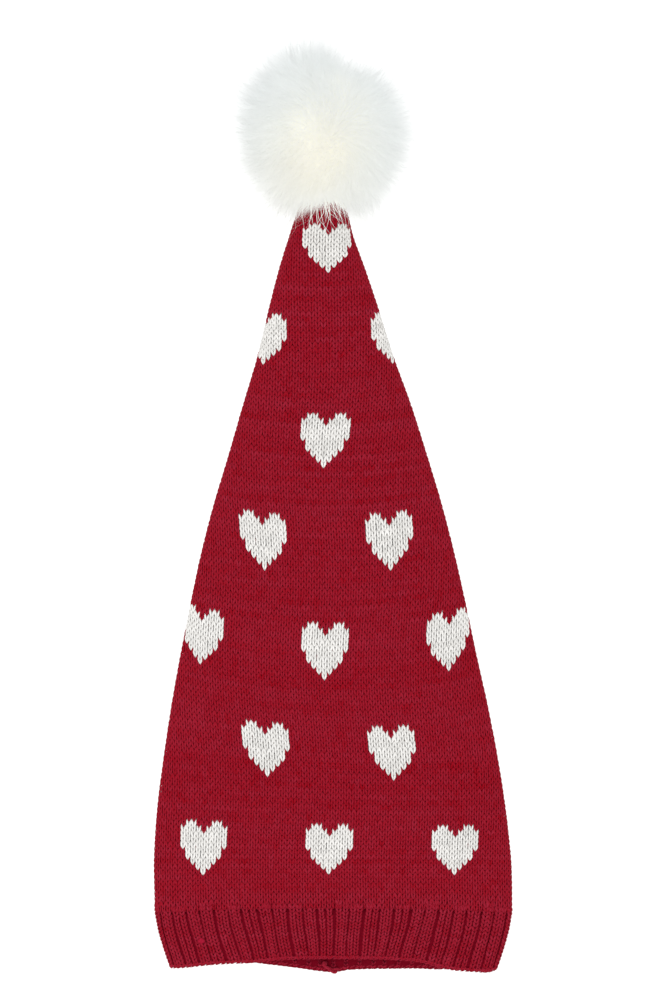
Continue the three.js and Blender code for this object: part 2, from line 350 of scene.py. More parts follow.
def hat_point(sizes, angle, height):
    """A point on the outside of the solids, in the source's frame: Y is 0 where the cuff starts."""
    along = np.clip(height / sizes.crown_length, 0, 1)
    below = np.clip(-height / sizes.cuff_length, 0, 1)
    crown_width = value_at(CROWN, "width", along) * sizes.flat_width
    width = crown_width + (sizes.mouth_width - crown_width) * value_at(CUFF, "width", below)
    high = value_at(CROWN, "thick", along) * value_at(CUFF, "thick", below) * sizes.lay_height
    x, z = section_point(angle, width / 2, high, sizes.fold_height)
    x = x + value_at(CROWN, "shift", along) * sizes.flat_width
    z = z + value_at(CROWN, "lift", along) * sizes.tip_lift
    return np.stack([x, height + arch_at(sizes, angle, height), z], axis=-1)


def soft_waves(across, height):
    """Gentle unevenness of the front layer as it lies, with a faint crease low on its middle."""
    waves = (
        0.35 * np.sin(across / 0.021 + 1.3) * np.sin(height / 0.034 + 0.4)
        + 0.3 * np.sin(across / 0.047 - height / 0.029 + 2.1)
        + 0.22 * np.sin(height / 0.0125 + 2.2 * np.sin(across / 0.05))
    )
    places = zip((across, height), CREASE_MIDDLE, CREASE_SIZE)
    crease = np.exp(-sum(((place - middle) / size) ** 2 for place, middle, size in places))
    return (waves - CREASE_DEPTH * crease) * MM


def rib_groove(layer, share):
    """How deep each place across a layer lies in a groove between ribs, from 0 on a rib to 1."""
    return 1 - value_at(RIB, "out", rib_phase(layer.side, share) % 1.0)


def rib_sway(share, below):
    """How far a rib runs aside, as a share: they draw together towards the mouth, and each wanders.
    Below is 0 where the cuff starts and 1 at the mouth."""
    drawn = RIBS_DRAWN * np.sin(math.pi * share) * (0.5 - below)
    wander = 0.0045 * np.sin(31 * share + 1) + 0.003 * np.sin(17 * share + 5 * below)
    return (drawn + wander) * (1 - share**6)


def rib_top(share):
    """The height at which a rib at a place across runs out into the plain knit."""
    return (2.4 + 2.2 * np.sin(37 * share + 1) + 1.4 * np.sin(16 * share)) * MM


def rib_phase(side, share):
    """The rib that a place across belongs to, counted round from the right fold over the front."""
    ribs = RIB_COUNT / 2
    turned = ribs * (1 - share) / 2 if side == FRONT else ribs + ribs * (share + 1) / 2
    return turned + 0.5


def rib_share(side, phase):
    """The place across, as a share, of a rib or a part of one."""
    ribs = RIB_COUNT / 2
    turned = phase - 0.5
    return 1 - 2 * turned / ribs if side == FRONT else 2 * (turned - ribs) / ribs - 1


class Layer:
    """The front or the back of the flat tube, as a grid of points and normals to look up by place
    across, the distance along the fabric from its middle, and by height."""

    def __init__(self, sizes, side):
        self.side = side
        self.sizes = sizes
        count = int(round((sizes.crown_length + sizes.cuff_length) / GRID_STEP)) + 1
        self.heights = np.linspace(-sizes.cuff_length, sizes.crown_length, count)
        most = math.pi / 2 + SECTION_PAST
        turn = np.linspace(-most, most, SECTION_POINTS)
        angle = side * math.pi / 2 - side * turn
        points = hat_point(sizes, angle[None, :], self.heights[:, None])
        steps = np.linalg.norm(np.diff(points[:, :, [0, 2]], axis=1), axis=2)
        walked = np.concatenate([np.zeros((count, 1)), np.cumsum(steps, axis=1)], axis=1)
        middle = len(turn) // 2
        walked = walked - walked[:, middle : middle + 1]
        self.half = walked[:, np.searchsorted(turn, math.pi / 2)]
        self.shares = np.linspace(-GRID_SPREAD, GRID_SPREAD, GRID_ACROSS)
        grid = np.empty((count, GRID_ACROSS, 3))
        for row in range(count):
            wanted = self.shares * self.half[row]
            for axis in range(3):
                grid[row, :, axis] = np.interp(wanted, walked[row], points[row, :, axis])
        grid[:, :, 1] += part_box("crown")[1].y - sizes.crown_length
        along = np.gradient(grid, axis=0)
        across = np.gradient(grid, axis=1)
        normals = np.cross(across, along) * side
        normals /= np.linalg.norm(normals, axis=2, keepdims=True)
        height = self.heights[:, None]
        ribbed = smoothstep(height + sizes.cuff_length, *RIBS_START)
        inner = np.clip(self.shares, -1, 1)
        ribbed = ribbed * (1 - smoothstep(height - rib_top(inner), *RIBS_END))
        straight = self.shares - rib_sway(inner, np.clip(-height / sizes.cuff_length, 0, 1))
        lift = -rib_groove(self, straight) * sizes.rib_depth * ribbed
        if side == FRONT:
            inside = 1 - smoothstep(np.abs(self.shares), *WAVES_SIDE)
            waves = soft_waves(self.shares * self.half[:, None], height) * inside
            lift = lift + waves * (1 - smoothstep(height, *WAVES_END))
        grid += normals * lift[:, :, None]
        drawn = value_at(MOUTH, "front" if side == FRONT else "back", self.shares) * MM
        grid[:, :, 1] += drawn * smoothstep(-height, 0, sizes.cuff_length)
        self.grid = np.concatenate([grid, normals], axis=2)

    def half_at(self, height):
        """The distance along the fabric from the middle to the fold."""
        return np.interp(height, self.heights, self.half)

    def look_up(self, across, height):
        """The outside's points and normals at places across, in metres, and heights."""
        places = (height, self.heights), (across / self.half_at(height), self.shares)
        row, column = (
            np.clip((wanted - line[0]) / (line[1] - line[0]), 0, len(line) - 1.001)
            for wanted, line in places
        )
        r, c = row.astype(int), column.astype(int)
        fr, fc = (row - r)[..., None], (column - c)[..., None]
        low = self.grid[r, c] * (1 - fc) + self.grid[r, c + 1] * fc
        high = self.grid[r + 1, c] * (1 - fc) + self.grid[r + 1, c + 1] * fc
        found = low * (1 - fr) + high * fr
        normals = found[..., 3:]
        normals = normals / np.linalg.norm(normals, axis=-1, keepdims=True)
        return found[..., :3], normals

    def place(self, across, height, out):
        """Points that stand out from the fabric's outside by a distance."""
        points, normals = self.look_up(across, height)
        return points + normals * out[..., None]


def row_height(layer, row, across):
    """The height of a place across on a row of stitches, which need not be a whole row."""
    sizes = layer.sizes
    middle = value_at(ROWS, "height", row) * MM
    share = across / layer.half_at(middle)
    smile = value_at(ROWS, "smile", row) * MM
    tilt = value_at(ROWS, "tilt", row)
    height = middle + smile * share * share - tilt * across
    return np.minimum(height, sizes.crown_length)


# Making meshes


def linked(name, mesh):
    """A new object of a mesh, in the scene."""
    piece = bpy.data.objects.new(name, mesh)
    bpy.context.scene.collection.objects.link(piece)
    return piece


def mark(mesh, key, values):
    """Puts a number on each point of a mesh, for its material to read."""
    numbers = mesh.attributes.new(key, "FLOAT", "POINT")
    numbers.data.foreach_set("value", np.ascontiguousarray(values, dtype=np.float32).ravel())


def mesh_of_triangles(name, points, triangles, **numbers):
    """A new object of one mesh from arrays, shaded smooth, with numbers on its points."""
    mesh = bpy.data.meshes.new(name)
    mesh.vertices.add(len(points))
    mesh.vertices.foreach_set("co", np.ascontiguousarray(points, dtype=np.float32).ravel())
    mesh.loops.add(triangles.size)
    mesh.loops.foreach_set("vertex_index", triangles.astype(np.int32).ravel())
    mesh.polygons.add(len(triangles))
    mesh.polygons.foreach_set("loop_start", np.arange(0, triangles.size, 3, dtype=np.int32))
    mesh.polygons.foreach_set("use_smooth", np.full(len(triangles), True))
    for key, values in numbers.items():
        mark(mesh, key, values)
    mesh.update()
    mesh.validate()
    return linked(name, mesh)


def object_of(name, bm):
    """A new object from a bmesh, shaded smooth."""
    for face in bm.faces:
        face.smooth = True
    mesh = bpy.data.meshes.new(name)
    bm.to_mesh(mesh)
    bm.free()
    return linked(name, mesh)


def dress(piece, material, slot, *replaced):
    """Gives a finished piece its material and its place in the frame."""
    piece.data.materials.clear()
    piece.data.materials.append(material)
    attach(piece, "root")
    if replaced:
        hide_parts(*replaced)
    return piece


def knitted(lot, name, finish, slot, *replaced):
    """A finished piece of yarn from its points, its triangles and the tone of each point."""
    points, triangles, tones = lot
    piece = mesh_of_triangles(name, points, triangles, tone=tones)
    return dress(piece, made[finish], slot, *replaced)


# Knitting

YARN_ROUND = 0.52  # the yarn's height as a share of its width
YARN_FLAT = (1.1, 1.3)  # how much wider and lower it is above its middle, and below it
YARN_SEAT = 0.5 * MM  # the yarn's middle below the solid's outside
STITCH_MIDDLE = 0.8  # a stitch's middle in rows from its foot
ARM_MIDDLE = 0.25  # an arm's middle in columns from the stitch's, which is also half its width
# How much stitches differ from each other: in lean, length, thickness and lightness
STITCH_LEAN, STITCH_STRETCH, STITCH_SWELL, STITCH_TONE = 0.018, 0.03, 0.07, 0.09
PAD_WIDE, PAD_LONG, PAD_SEAT = 1.06, 1.03, 0.2  # a pad in columns and rows, and how deep it lies in mm
MOST_COLUMNS = 44  # from the middle to past either fold
# How far past the fold, in columns, the last stitch of the front and of the back may lie
PAST_FOLD = {FRONT: 0.45, BACK: -0.05}
MOST_ROWS = 400  # more rows than any piece has


def template_of(bm):
    """A small shape's points and triangles, ready to be repeated by arrays."""
    bmesh.ops.triangulate(bm, faces=bm.faces[:])
    bmesh.ops.recalc_face_normals(bm, faces=bm.faces[:])
    bm.verts.index_update()
    points = np.array([vert.co for vert in bm.verts])
    triangles = [[vert.index for vert in face.verts] for face in bm.faces]
    bm.free()
    # The operator gives the same triangles in every run, but not in the same order
    return points, np.unique([np.roll(corners, -np.argmin(corners)) for corners in triangles], axis=0)


def arm_template(arm, sides):
    """One arm as across, along, out in columns and out in millimetres, and its triangles: a ball with
    a ring for each row of the table, drawn out along it."""
    bm = bmesh.new()
    last = len(arm["along"]) - 1
    bmesh.ops.create_uvsphere(bm, u_segments=sides, v_segments=last, radius=1)
    points, triangles = template_of(bm)
    ring = np.rint((1 - np.arccos(np.clip(points[:, 2], -1, 1)) / math.pi) * last).astype(int)
    turn = np.arctan2(points[:, 1], points[:, 0]) + (math.pi / 4 if sides == 4 else math.pi / 2)
    wide = arm["wide"][ring]
    flat = np.where(np.sin(turn) > 0, *YARN_FLAT)
    shape = np.stack(
        [
            arm["across"][ring] + wide * np.cos(turn) * flat,
            arm["along"][ring],
            YARN_ROUND * wide * np.sin(turn) / flat,
            arm["out"][ring],
        ],
        axis=1,
    )
    return shape, triangles[:, ::-1]


def stitch_template(plain=False):
    """A whole stitch, two arms that meet at its foot. A plain one has fewer faces."""
    right, right_faces = arm_template(PLAIN_ARM if plain else ARM, 3 if plain else 4)
    left, left_faces = right * (-1, 1, 1, 1), right_faces[:, ::-1] + len(right)
    return np.concatenate([right, left]), np.concatenate([right_faces, left_faces])


def pad_template():
    """A low pad that lies behind the openings round a stitch, and carries their painted grey shade."""
    bm = bmesh.new()
    bmesh.ops.create_cone(bm, cap_ends=True, segments=4, radius1=1, radius2=0, depth=1)
    points, faces = template_of(bm)
    turn = np.arctan2(points[:, 1], points[:, 0]) + math.pi / 4
    wide = np.where(points[:, 2] < 0, math.sqrt(0.5), 0)
    across, along = wide * np.cos(turn) * PAD_WIDE, 1.0 + wide * np.sin(turn) * PAD_LONG
    return np.stack([across, along, points[:, 2] * 0.05, 0 * turn - PAD_SEAT], axis=1), faces


def repeated(points, faces, turned=False):
    """A row of points for each copy of a shape as one lot of points and triangles. Turned, the
    triangles face the other way."""
    triangles = faces[None] + (np.arange(len(points)) * points.shape[1])[:, None, None]
    if turned:
        triangles = triangles[:, :, ::-1]
    return points.reshape(-1, 3), triangles.reshape(-1, 3)


def knit(layer, template, count, spot, random, seat=YARN_SEAT, inward=False):
    """The points and triangles of some stitches. spot(u, v) gives the place across, the height and
    the column's width of points u columns and v rows from each stitch's foot."""
    shape, faces = template
    lean = random.normal(0, STITCH_LEAN, (count, 1))
    stretch = 1 + random.normal(0, STITCH_STRETCH, (count, 1))
    swell = 1 + random.normal(0, STITCH_SWELL, (count, 1))
    u = shape[None, :, 0] * swell + lean * shape[None, :, 1]
    across, height, pitch = spot(u, shape[None, :, 1] * stretch)
    out = shape[None, :, 2] * pitch * swell + shape[None, :, 3] * MM
    points = layer.place(across, height, -seat - out if inward else out - seat)
    return repeated(points, faces, turned=(layer.side == BACK) != inward)


def columns_at(height):
    """The middle column's place across and the columns' pitch, at a height in millimetres."""
    return [value_at(COLUMNS, column, height) * MM for column in ("middle", "pitch")]


def crown_spot(layer, columns, rows):
    """Where points of the crown's stitches lie, by the columns' and rows' tables."""

    def spot(u, v):
        row = rows[:, None] + v
        middle, pitch = columns_at(value_at(ROWS, "height", row))
        across = middle + (columns[:, None] + u) * pitch
        return across, row_height(layer, row, across), pitch

    return spot


def strip_spot(layer, share, low, row_pitch, pitch_share):
    """Where points of ribbing lie: share is each column's place across, and low its stitch's foot."""

    def spot(u, v):
        height = low[:, None] + v * row_pitch
        half = layer.half_at(height)
        pitch = 2 * half * pitch_share
        below = np.clip(-height / layer.sizes.cuff_length, 0, 1)
        swayed = share[:, None] + rib_sway(share[:, None], below)
        return swayed * half + u * pitch, height, pitch

    return spot


def joined(parts):
    """Several lots of points, triangles and, where they have them, tones of the points as one."""
    points, triangles, *tones = zip(*parts)
    shifts = np.cumsum([0, *(len(lot) for lot in points[:-1])])
    triangles = [lot + shift for lot, shift in zip(triangles, shifts)]
    return [np.concatenate(lots) for lots in (points, triangles, *tones)]


def stitch_places(layer):
    """The column and row of every stitch of a layer, and whether its yarn is white."""
    every_row = np.arange(-1, ROWS["row"][-1] - 2)
    every_column = np.arange(-MOST_COLUMNS, MOST_COLUMNS + 1)
    rows, columns = (grid.ravel() for grid in np.meshgrid(every_row, every_column, indexing="ij"))
    middle, pitch = columns_at(value_at(ROWS, "height", rows + STITCH_MIDDLE))
    across = middle + columns * pitch
    half = layer.half_at(row_height(layer, rows + STITCH_MIDDLE, across))
    fits = np.abs(across) < half + PAST_FOLD[layer.side] * pitch
    rows, columns = rows[fits], columns[fits]
    return columns, rows, is_white(columns, rows)


def is_white(columns, rows):
    """Whether stitches belong to a heart, by the chart."""
    chart = np.array([[mark == "X" for mark in line] for line in reversed(HEART)])
    tall, wide = chart.shape
    band = (rows - FIRST_HEART) // HEART_ROWS
    inside = rows - FIRST_HEART - band * HEART_ROWS
    aside = np.where(band % 2 == 0, 0, HEART_COLUMNS // 2)
    place = (columns - aside + wide // 2) % HEART_COLUMNS
    near = np.abs(columns) <= HEART_COLUMNS + wide // 2
    charted = near & (rows >= FIRST_HEART) & (inside < tall) & (place < wide)
    line, mark = np.minimum(inside, tall - 1).astype(int), np.minimum(place, wide - 1).astype(int)
    return charted & chart[line, mark]


def stitch_tone(rows, streaky, random):
    """How light the yarn of each stitch is: it differs from row to row, and a little by stitch."""
    by_row = random.normal(0, streaky, MOST_ROWS)[rows.astype(int)]
    return 0.5 + by_row + random.normal(0, STITCH_TONE, len(rows))


# The cloth under the stitches

SUNK_END = (2 * MM, 14 * MM)  # the heights between which sunk cloth comes up again


def tube(sides, rows, place):
    """An open tube as a bmesh, each point then set by its share of the way round and its row's."""
    bm = bmesh.new()
    bmesh.ops.create_cone(bm, cap_ends=False, segments=sides, radius1=1, radius2=1, depth=1)
    upright = [edge for edge in bm.edges if abs(edge.verts[0].co.z - edge.verts[1].co.z) > 0.5]
    bmesh.ops.subdivide_edges(bm, edges=upright, cuts=rows - 1, use_grid_fill=True)
    turn = np.array([math.atan2(v.co.y, v.co.x) / math.tau % 1.0 for v in bm.verts])
    along = np.array([v.co.z + 0.5 for v in bm.verts])
    for vert, point in zip(bm.verts, place(turn, along)):
        vert.co = point
    return bm


def round_share(turn):
    """Whether a share of the way round, from the right fold, is on the front, and its place there."""
    turn = np.where(turn > 1 - 1e-6, 0, turn)
    front = turn <= 0.5
    return front, np.where(front, 1 - 4 * turn, 4 * turn - 3)


def place_round(layers, turn, height, out):
    """Points on the tube by the share of the way round it."""
    front, share = round_share(turn)
    points = np.empty((len(turn), 3))
    for side, chosen in ((FRONT, front), (BACK, ~front)):
        layer = layers[side]
        across = share[chosen] * layer.half_at(height[chosen])
        points[chosen] = layer.place(across, height[chosen], out[chosen])
    return points


def fabric_tube(name, layers, sides, rows, span, seat, wall, closed=False, sunk=0.0):
    """A wall of plain cloth between two heights, a little inside the solids' outside. Closed, its
    upper end is shut. Sunk is how much deeper it lies where the ribs run out under it."""
    low, high = span
    bm = bmesh.new()
    for depth, top in ((seat, high), (seat + wall, high - wall if closed else high)):

        def place(turn, along):
            height = low + (top - low) * along
            deeper = sunk * (1 - smoothstep(height, *SUNK_END))
            return place_round(layers, turn, height, -depth - deeper)

        surface = bpy.data.meshes.new("surface")
        skin = tube(sides, rows, place)
        skin.to_mesh(surface)
        skin.free()
        bm.from_mesh(surface)
        bpy.data.meshes.remove(surface)
    rims = [edge for edge in bm.edges if edge.is_boundary]
    split = sum(edge.verts[0].co.y for edge in rims) / len(rims)
    lower = [edge for edge in rims if edge.verts[0].co.y < split]
    upper = [edge for edge in rims if edge.verts[0].co.y >= split]
    bmesh.ops.bridge_loops(bm, edges=lower)
    if closed:
        bmesh.ops.holes_fill(bm, edges=upper, sides=0)
    else:
        bmesh.ops.bridge_loops(bm, edges=upper)
    bmesh.ops.recalc_face_normals(bm, faces=bm.faces[:])
    return object_of(name, bm)


# Materials

FIBRE = 1.1 * MM  # coarser than real fibres, so that it shows
STREAK = 9 * MM  # the streaks along the rows of stitches
PURL = 2.2 * MM  # the bumps on the knit's back
FIBRE_SHARE = 1.5  # how much fibre and streak count in a yarn's lightness, where its tone counts 1
STREAK_SHARE = 0.22
YARN_RANGE = (0.85, 1.87)  # the sum that gives the deep colour, and the one that gives the light
MATT, DULL, SOFT = 0.85, 0.9, 0.6  # how rough yarn, its ground and fur are
# Each yarn by the key of its two colours, with its name and its fuzz
YARNS = {
    # The crown's: soft and matt, a little lighter or darker from stitch to stitch
    "red": ("red acrylic yarn, twisted", 0.3),
    # The hearts': warm white with grey between its plies
    "white": ("white acrylic yarn, twisted", 0.3),
    # The ribs': a shade deeper and fuzzier, as it is stretched more
    "rib": ("red acrylic yarn, ribbed", 0.4),
    # The cuff's inside: red at its edge, and painted shade that is nearly black further in
    "inside": ("red acrylic yarn, inside, painted shade", 0.4),
    # Loose bright fibres that have lost their twist
    "fluff": ("red acrylic fluff", 0.9),
}
# The knit behind the stitches, by the key of its two colours
GROUNDS = {
    # The crown's: painted light, a red lighter than its yarn's that lifts the shade in the openings
    "ground": "acrylic knit ground",
    # The cuff's: painted shade, dark lines in the grooves between the ribs
    "rib_ground_shade": "acrylic rib ground, painted shade",
    # The hearts': painted shade, grey specks between white stitches
    "white_ground_shade": "white acrylic knit ground, painted shade",
}


def add(tree, kind, settings=None, **links):
    """Adds one node with its settings and its input values or links. An input goes by its name, or by
    its number after an underscore."""
    node = tree.nodes.new(kind)
    for key, value in (settings or {}).items():
        setattr(node, key, value)
    for key, value in links.items():
        numbered = key[0] == "_" and key[1:].isdigit()
        socket = node.inputs[int(key[1:]) if numbered else key.replace("_", " ")]
        if isinstance(value, bpy.types.NodeSocket):
            tree.links.new(value, socket)
        else:
            socket.default_value = value
    return node


def new_material(name):
    """A material and its node tree, which is still empty."""
    material = bpy.data.materials.new(name)
    material.use_nodes = True
    tree = material.node_tree
    tree.nodes.clear()
    return material, tree


def yarn_material(name, deep, light, fuzz):
    """Twisted acrylic yarn, soft and matt: its plies and loose fibres break up the light, and each
    stitch is a little lighter or darker than the next."""
    material, tree = new_material(name)
    place = add(tree, "ShaderNodeTexCoord").outputs["Object"]
    tone = add(tree, "ShaderNodeAttribute", {"attribute_name": "tone"}).outputs["Fac"]
    fibre = add(
        tree, "ShaderNodeTexNoise", Vector=place, Scale=1 / FIBRE, Detail=3.0, Roughness=0.6
    ).outputs["Fac"]
    streak = add(tree, "ShaderNodeVectorMath", {"operation": "MULTIPLY"}, _0=place, _1=(0.25, 1, 1))
    patch = add(tree, "ShaderNodeTexNoise", Vector=streak.outputs[0], Scale=1 / STREAK, Detail=2.0)
    patch = patch.outputs["Fac"]
    summed = {"operation": "MULTIPLY_ADD"}
    fibrous = add(tree, "ShaderNodeMath", summed, _0=fibre, _1=FIBRE_SHARE, _2=tone).outputs[0]
    mixed = add(tree, "ShaderNodeMath", summed, _0=patch, _1=STREAK_SHARE, _2=fibrous).outputs[0]
    low, high = YARN_RANGE
    share = add(tree, "ShaderNodeMapRange", Value=mixed, From_Min=low, From_Max=high).outputs[0]
    colour = add(tree, "ShaderNodeMix", {"data_type": "RGBA"}, _0=share, _6=(*deep, 1), _7=(*light, 1))
    bump = add(tree, "ShaderNodeBump", Height=fibre, Strength=fuzz, Distance=0.4 * MM)
    shader = add(
        tree,
        "ShaderNodeBsdfPrincipled",
        Base_Color=colour.outputs[2],
        Roughness=MATT,
        Specular_IOR_Level=0.03,
        Normal=bump.outputs["Normal"],
    )
    add(tree, "ShaderNodeOutputMaterial", Surface=shader.outputs["BSDF"])
    return material


def knit_back_material(name, deep, light):
    """The ground of the knit between its stitches, uneven with purl bumps: its colours are painted
    shade, and for the crown painted light.
    """
    material, tree = new_material(name)
    place = add(tree, "ShaderNodeTexCoord").outputs["Object"]
    purl = add(tree, "ShaderNodeTexNoise", Vector=place, Scale=1 / PURL, Detail=2.0).outputs["Fac"]
    colour = add(tree, "ShaderNodeMix", {"data_type": "RGBA"}, _0=purl, _6=(*deep, 1), _7=(*light, 1))
    bump = add(tree, "ShaderNodeBump", Height=purl, Strength=0.7, Distance=0.6 * MM)
    shader = add(
        tree,
        "ShaderNodeBsdfPrincipled",
        Base_Color=colour.outputs[2],
        Roughness=DULL,
        Specular_IOR_Level=0.02,
        Normal=bump.outputs["Normal"],
    )
    add(tree, "ShaderNodeOutputMaterial", Surface=shader.outputs["BSDF"])
    return material


def fur_material(name, warm_white, cool_white, warm_painted_glow, cool_painted_glow):
    """Long soft fur with a painted glow: its emission stands in for the light that its fine fibres pass
    on to each other, so that it has no hard shade. Creamier low down and near the roots and cooler at
    the ends."""
    material, tree = new_material(name)
    cool = add(tree, "ShaderNodeAttribute", {"attribute_name": "cool"}).outputs["Fac"]
    colour, painted_glow = (
        add(tree, "ShaderNodeMix", {"data_type": "RGBA"}, _0=cool, _6=(*low, 1), _7=(*high, 1))
        for low, high in ((warm_white, cool_white), (warm_painted_glow, cool_painted_glow))
    )
    shader = add(
        tree,
        "ShaderNodeBsdfPrincipled",
        Base_Color=colour.outputs[2],
        Roughness=SOFT,
        Specular_IOR_Level=0.15,
        # Painted glow: emission in place of the light that passes between the fibres
        Emission_Color=painted_glow.outputs[2],
        Emission_Strength=0.9,
    )
    add(tree, "ShaderNodeOutputMaterial", Surface=shader.outputs["BSDF"])
    # The strands still glow, but aren't sampled as lights, which halves the render time
    material.cycles.emission_sampling = "NONE"
    return material


def make_materials(colours):
    """Every finish of the hat, by the name that its pieces ask for."""

    def pair(key):
        return getattr(colours, key + "_deep"), getattr(colours, key + "_light")

    for key, (name, fuzz) in YARNS.items():
        made[key] = yarn_material(name, *pair(key), fuzz)
    for key, name in GROUNDS.items():
        made[key] = knit_back_material(name, *pair(key))
    painted_glow = (colours.fur_painted_glow_warm, colours.fur_painted_glow_cool)
    # The backing shows only as an even pale ground deep between the strands, and it has the fur's
    # painted glow
    made["core"] = fur_material("white fur backing, painted glow", colours.fur_core, colours.fur_core, *painted_glow)
    made["fur"] = fur_material("white faux fur, fluffed, painted glow", colours.fur_warm, colours.fur_cool, *painted_glow)


def ready(scene):
    """The front and back layers. The first step to ask for them makes them, and the finishes."""
    if not made:
        made["layers"] = {side: Layer(scene.hat_sizes, side) for side in (FRONT, BACK)}
        make_materials(scene.hat_colours)
    return made["layers"]


# The pieces, each made by its own operator

SEEDS = {"crown": 11, "cuff": 23, "fur": 37, "seam": 41, "tip": 43}
HALF_WAY = 52  # the row where the front's stitches are shared out between two pieces
CLOTH_SEAT = 0.95 * MM  # the cloth's outside below the solid's
CROWN_CLOTH = (90, 60)  # the points round and the rows of the crown's cloth, and then of the cuff's
CUFF_CLOTH = (RIB_COUNT * 8, 5)
CLOTH_SUNK = 1.1 * MM  # how much deeper the crown's cloth lies under the ends of the ribs
CROWN_STREAKS, RIB_STREAKS = 0.08, 0.04  # how much rows differ in lightness
CUFF_ROWS = 15
RIB_COLUMNS = (0.275, 0.725)  # the middles of a rib's two columns, as shares of its pitch
RIB_COLUMN_WIDTH = 0.435
RIB_RAISED = 0.22 * MM  # the last stitches of a rib lie on the crown's first rows
GROOVE_COLUMNS = (0.0,)
INNER_SEAT = 2.1 * MM
# Painted shade on the inside's yarn: lighter at the edge and darker further in
INNER_TONES = (1.0, 0.3, 0.0, -0.5)  # the inside's yarn from the edge in, the last for all further rows
MM_PER_PIXEL = 0.6685  # the camera's view, its height in pixels and the Y of its middle
VIEW_PIXELS = 1000
VIEW_MIDDLE_Y = 0.0116
VIEW_LEVEL = 8 * MM  # the height above the floor where the view has that scale
FLUFF_RADIUS = 2.3 * MM  # a bit of lighter fluff that has worked out of the yarn, on a rib at the left
FLUFF_ACROSS = -88.4 * MM
FLUFF_HEIGHT = -21.5 * MM
SEAM_PITCH = 3.4 * MM  # from stitch to stitch of the seam up the back
SEAM_YARN = 0.55 * MM
SEAM_SLANT = 0.5
SEAM_START = 4 * MM  # how far it starts above the mouth's edge, and stops below the tip
SEAM_STOP = 10 * MM
SEAM_TONE = 0.3
EDGE_TONE = 0.7
KNOT_TONE = 0.75
# The rows of yarn along the mouth's edge: how many lengths on each layer, how far they lie up from
# the edge and in from the solid's outside, their slant, and half their width in millimetres
EDGE_ROWS = (
    (66, 0.5, 0.9, 0.25, 0.85),
    (60, 1.7, 0.45, -0.3, 0.8),
    (60, 0.9, 2.0, -0.25, 0.8),
    (60, 2.3, 2.2, 0.25, 0.8),
)
KNOT_YARN = 0.9 * MM
STRAND_YARN = 1.2 * MM
# The strand's way out of the knot and back up into the mouth, in millimetres
STRAND_ROUTE = (
    (0, 0, 0),
    (-1.9, 0.9, 1.2),
    (-3.9, 1.9, 2.0),
    (-5.6, 3.3, 2.3),
    (-5.2, 4.9, 2.4),
    (-3.9, 4.8, 2.6),
    (-4.1, 3.6, 3.2),
)
KNOT_RISE = 4.2 * MM  # the knot hugs the back layer's edge
KNOT_POINTS = 72
# Where the fur ends over the crown's tip, and its knit shows in front of the fur, in millimetres
TIP_SHOWS = table(
    "x y",
    (-24.0, 194.5),
    (-18.6, 199.8),
    (-11.4, 200.6),
    (-4.2, 205.2),
    (2.3, 205.8),
    (6.2, 202.5),
    (14.0, 196.0),
)
TIP_SIDE = 25 * MM  # how far aside of the pompom's middle that is, and from what height up
TIP_LEVEL = 20 * MM
TIP_HAIRS = 52  # crisp single hairs over the tip
TIP_HAIRS_AIM = ((0.1, -0.88, 0.2), (0.2, 0.1, 0.1))  # their direction and its spread
TIP_HAIR = (0.9, 1.32), 0.48, 1  # their lengths, thickness and bends, as in the next table
# The layers of the fur: its share of the strands, the shortest and longest as shares of the
# pompom's radius, a strand's thickness in millimetres, and its bends
FUR_LAYERS = (
    ("pompom_fur_inner", 0.36, (0.68, 0.93), 0.3, 0),
    ("pompom_fur_outer", 0.4, (0.8, 1.06), 0.19, 1),
    ("pompom_fur_ends", 0.2, (0.9, 1.4), 0.14, 1),
    ("pompom_fur_wisps", 0.54, (0.86, 1.5), 0.09, 0),
)
# Bumps of the fur's outline: how far each stands out, as a share, its bearing in degrees from the
# top round to the right, and its spread
FUR_BUMPS = (
    (0.17, -22, 22),  # a tuft at the top left
    (-0.12, 21, 13),  # a dip at the top right
    (-0.05, 30, 40),
    (0.03, 180, 60),  # fuller fur round the crown's tip
    (0.06, 130, 35),
)
FUR_WARM = ((-0.1, 0.7), (-0.5, 0.65))  # the middle and spread of the creamy part, by x and y
POMPOM_HEIGHT = 49 * MM
CORE_INSET = 4 * MM  # the core's surface below the roots' ball
FUR_TOP = 116 * MM  # no strand reaches higher, or further along Y than the next
FUR_END = 336 * MM
FUR_SLACK = 5 * MM  # the most that a strand stops short of them
FUR_ROOTS = (0.8, 0.92)  # where strands start, as shares of the core's radius
FUR_LENGTHS = (1.5, 2.8)  # the spread of the lengths, with more short ones than long
FUR_LEAN, FUR_COMB = 0.55, 0.26  # how far a strand leans by itself, and with its neighbours
STRAND_TAPER = (1.0, 0.8, 0.0)  # its thickness at its root, half-way and at its end
made = {}  # the layers and the finishes, once they are made


